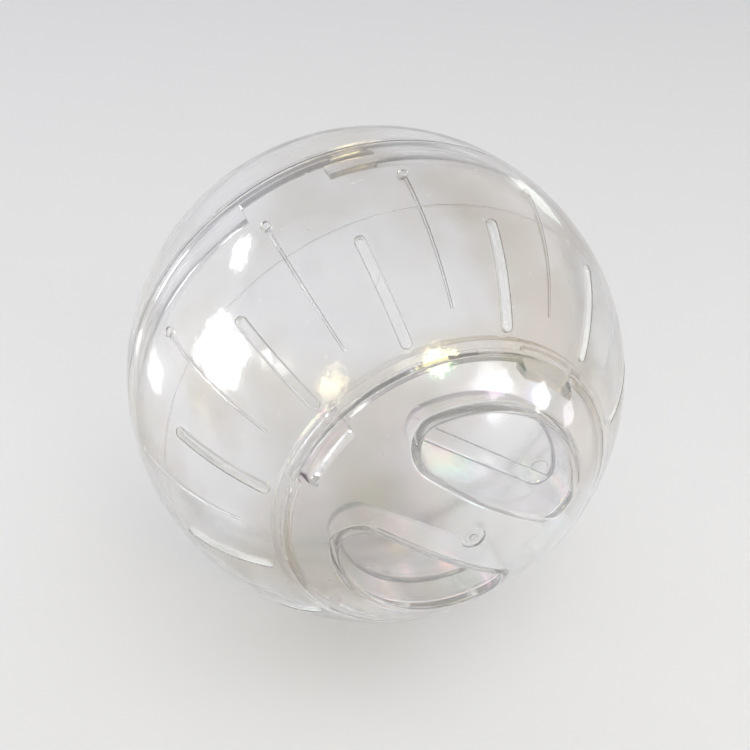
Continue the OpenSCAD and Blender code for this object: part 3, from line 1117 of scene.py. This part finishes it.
# Studio: a pale floor, soft lamps and the photograph's camera
studio = {
    "floorSize": 12.0,
    "floorColour": "#e2e2e4",
    "floorRoughness": 0.7,
    "backdropColour": "#dcdcde",
    "sweep": (0.9, 2.4),  # metres over which the floor turns into the backdrop
    "ceiling": "#6a6a6e",
    "warmCeiling": "#655e56",
    "overhead": (0.4, 0.75),  # heights over which the room darkens towards its ceiling
    "nearWay": (0.35, -0.9, 0.25),
    "nearSide": (0.0, 0.9),
    "skyColour": "#fafafb",
    "skyGlow": 0.74,
    "cameraTurn": -18.9,
    "cameraHeight": 35.2,
    "cameraDistance": 3.787,  # in ball radii
    "focalPixels": 909.5,
    "pictureWidth": 750,
    "sensorWidth": 36.0,
    "clipStart": 0.01,
    "ballAt": (375.66, 374.01),
}


def makeFloor():
    half = studio["floorSize"] / 2
    z = -ballR * mm
    mesh = bpy.data.meshes.new("studioFloor")
    corners = [(-half, -half, z), (half, -half, z), (half, half, z), (-half, half, z)]
    mesh.from_pydata(corners, [], [[0, 1, 2, 3]])
    floor = addObject("studioFloor", mesh)
    material = bpy.data.materials.new("paintedFloor")
    tree = emptyTree(material)
    coat = {"Base Color": colour(studio["floorColour"]), "Roughness": studio["floorRoughness"]}
    paint = addNode(tree, "ShaderNodeBsdfPrincipled", coat)
    place = addNode(tree, "ShaderNodeTexCoord", out="Object")
    away = addNode(tree, "ShaderNodeVectorMath", {0: place}, operation="LENGTH", out="Value")
    fade = addRange(tree, away, *studio["sweep"], easing="SMOOTHSTEP")
    haze = addNode(tree, "ShaderNodeEmission", {"Color": colour(studio["backdropColour"])})
    endShader(tree, "Material", fade, paint, haze)
    mesh.materials.append(material)


def wayTo(turn, height):
    a, b = radians(turn), radians(height)
    return Vector((sin(a) * cos(b), cos(a) * cos(b), sin(b)))


# How a lamp's face looks: the power of its outline (8 is a window, 2 a disc, under 1 a star), the
# folds of the cloth in front of it and how far they move its edge
lampLooks = {"window": (8, 5, 0.6), "ragged": (3, 4, 1.0), "star": (0.9, 3, 1.1), "flame": (1.1, 6, 1.7)}
lampEdge = (0.44, 0.38)  # where the glow starts and where it is full, from the middle outwards
clothNoise = {"Scale": 1.0, "Detail": 6.0, "Roughness": 0.75}


# Glow of a lamp's face: an outline drawn by its power and moved by the cloth
def lampFace(tree, corner, folds, sway):
    spot = addNode(tree, "ShaderNodeNewGeometry", out="Parametric")
    flat = "ShaderNodeVectorMath"
    centred = addMath(tree, "ADD", spot, (-0.5, -0.5, 0), kind=flat)
    drawn = addMath(tree, "MULTIPLY", spot, (folds, folds, 0), kind=flat)
    cloth = addNode(tree, "ShaderNodeTexNoise", {"Vector": drawn, **clothNoise}, out="Color")
    moved = addMath(tree, "MULTIPLY_ADD", cloth, (sway, sway, 0), centred, kind=flat)
    parts = addNode(tree, "ShaderNodeSeparateXYZ", {0: moved}).node.outputs
    sides = []
    for k in range(2):
        side = addMath(tree, "ABSOLUTE", addMath(tree, "ADD", parts[k], -sway / 2))
        sides.append(addMath(tree, "POWER", side, corner))
    edge = addMath(tree, "POWER", addMath(tree, "ADD", *sides), 1 / corner)
    return addRange(tree, edge, *lampEdge)


# A soft lamp, placed by the spot on the ball that mirrors it (in millimetres), the turn from +Y
# towards +X and the height at which it stands from there, and the width and height of its view
def makeLamp(
    name, spotOnBall, turn, height, spread, distance, glow, tint="#ffffff", look="window", reflected=True
):
    data = bpy.data.lights.new(name, "AREA")
    data.shape = "RECTANGLE"
    data.size, data.size_y = (2 * distance * tan(radians(s) / 2) for s in spread)
    data.energy = glow * pi * data.size * data.size_y
    data.color = colour(tint)[:3]
    tree = emptyTree(data)
    light = addNode(tree, "ShaderNodeEmission", {"Strength": lampFace(tree, *lampLooks[look])})
    addNode(tree, "ShaderNodeOutputLight", {"Surface": light})
    lamp = addObject(name, data)
    away = wayTo(turn, height)
    lamp.location = Vector(spotOnBall) * mm + away * distance
    lamp.rotation_euler = (-away).to_track_quat("-Z", "Y").to_euler()
    lamp.visible_camera = False
    lamp.visible_glossy = reflected
    lamp.visible_transmission = reflected


# Even light, and a pale room for the camera, the gloss and the view through the plastic. The room
# is darker overhead and warmer on the camera's side, which draws the plastic's edges.
def makeWorld():
    world = bpy.data.worlds.new("studioWorld")
    scene.world = world
    tree = emptyTree(world)
    way = addNode(tree, "ShaderNodeTexCoord", out="Generated")
    up = addNode(tree, "ShaderNodeSeparateXYZ", {0: way}, out="Z")
    overhead = addRange(tree, up, *studio["overhead"], easing="SMOOTHSTEP")
    facing = {0: way, 1: studio["nearWay"]}
    near = addNode(tree, "ShaderNodeVectorMath", facing, operation="DOT_PRODUCT", out="Value")
    warmSide = addRange(tree, near, *studio["nearSide"], easing="SMOOTHSTEP")
    ceiling = addColourMix(tree, warmSide, colour(studio["ceiling"]), colour(studio["warmCeiling"]))
    room = addColourMix(tree, overhead, colour(studio["backdropColour"]), ceiling)
    light = {"Color": colour(studio["skyColour"]), "Strength": studio["skyGlow"]}
    sky = addNode(tree, "ShaderNodeBackground", light)
    backdrop = addNode(tree, "ShaderNodeBackground", {"Color": room, "Strength": 1.0})
    path = addNode(tree, "ShaderNodeLightPath").node.outputs
    seen = path["Is Camera Ray"]
    for kind in ("Is Glossy Ray", "Is Transmission Ray"):
        seen = addMath(tree, "MAXIMUM", seen, path[kind])
    endShader(tree, "World", seen, sky, backdrop)


def makeCamera():
    turn = radians(studio["cameraTurn"])
    towards = wayTo(180 - studio["cameraTurn"], studio["cameraHeight"])
    right = Vector((cos(turn), sin(turn), 0))
    up = towards.cross(right)
    distance = studio["cameraDistance"] * ballR * mm
    width = studio["pictureWidth"]
    perPixel = distance / studio["focalPixels"]
    atX, atY = studio["ballAt"]
    aim = -right * (atX - width / 2) * perPixel - up * (width / 2 - atY) * perPixel
    data = bpy.data.cameras.new("camera")
    data.sensor_width = studio["sensorWidth"]
    data.lens = studio["focalPixels"] / width * data.sensor_width
    data.clip_start = studio["clipStart"]
    camera = addObject("camera", data)
    camera.location = aim + towards * distance
    camera.rotation_euler = (-towards).to_track_quat("-Z", "Y").to_euler()
    scene.camera = camera


makeFloor()
makeWorld()
makeLamp("windowLeft", (-40, -28, 33), -83, 18, (32, 26), 2.0, 6.0, "#f8fbff")
makeLamp("windowUpper", (-33, -16, 47), -49, 37, (17, 10), 2.0, 6.0, "#fafcff", "ragged")
makeLamp("panelLeft", (-53, -15, 23), -51.5, -12.6, (18, 13), 0.18, 1.8)
makeLamp("windowRight", (7, -51, 30), 142, 16.7, (14, 11), 2.0, 3.5)
makeLamp("panelRight", (16, -52, 25), 124.7, 1.8, (11, 12), 0.25, 7.0)
makeLamp("panelLow", (23, -52, 20), 112, -11.8, (8, 11), 0.18, 3.0)
makeLamp("windowBack", (6.4, -52, 8.6), 48.6, 4.1, (14, 10), 2.0, 1.1, "#f6fff9")
makeLamp("warmLamp", (-4, -48, 36), 166.3, 36.8, (22, 19), 1.0, 14.0, "#fff5bc", "star")
makeLamp("warmStreak", (-24, -44, 33), -140, 29, (15, 25), 1.0, 3.3, "#fff8d4", "flame")
makeLamp("overhead", (0, 0, 0), 150, 72, (40, 40), 1.2, 1.4, reflected=False)
makeCamera()
scene.view_settings.view_transform = "Standard"
# Light goes on through many walls of clear plastic, and is mirrored a few times inside each
scene.cycles.max_bounces = 28
scene.cycles.glossy_bounces = 9
scene.cycles.transmission_bounces = 28
scene.cycles.transparent_max_bounces = 40
print("studio set")
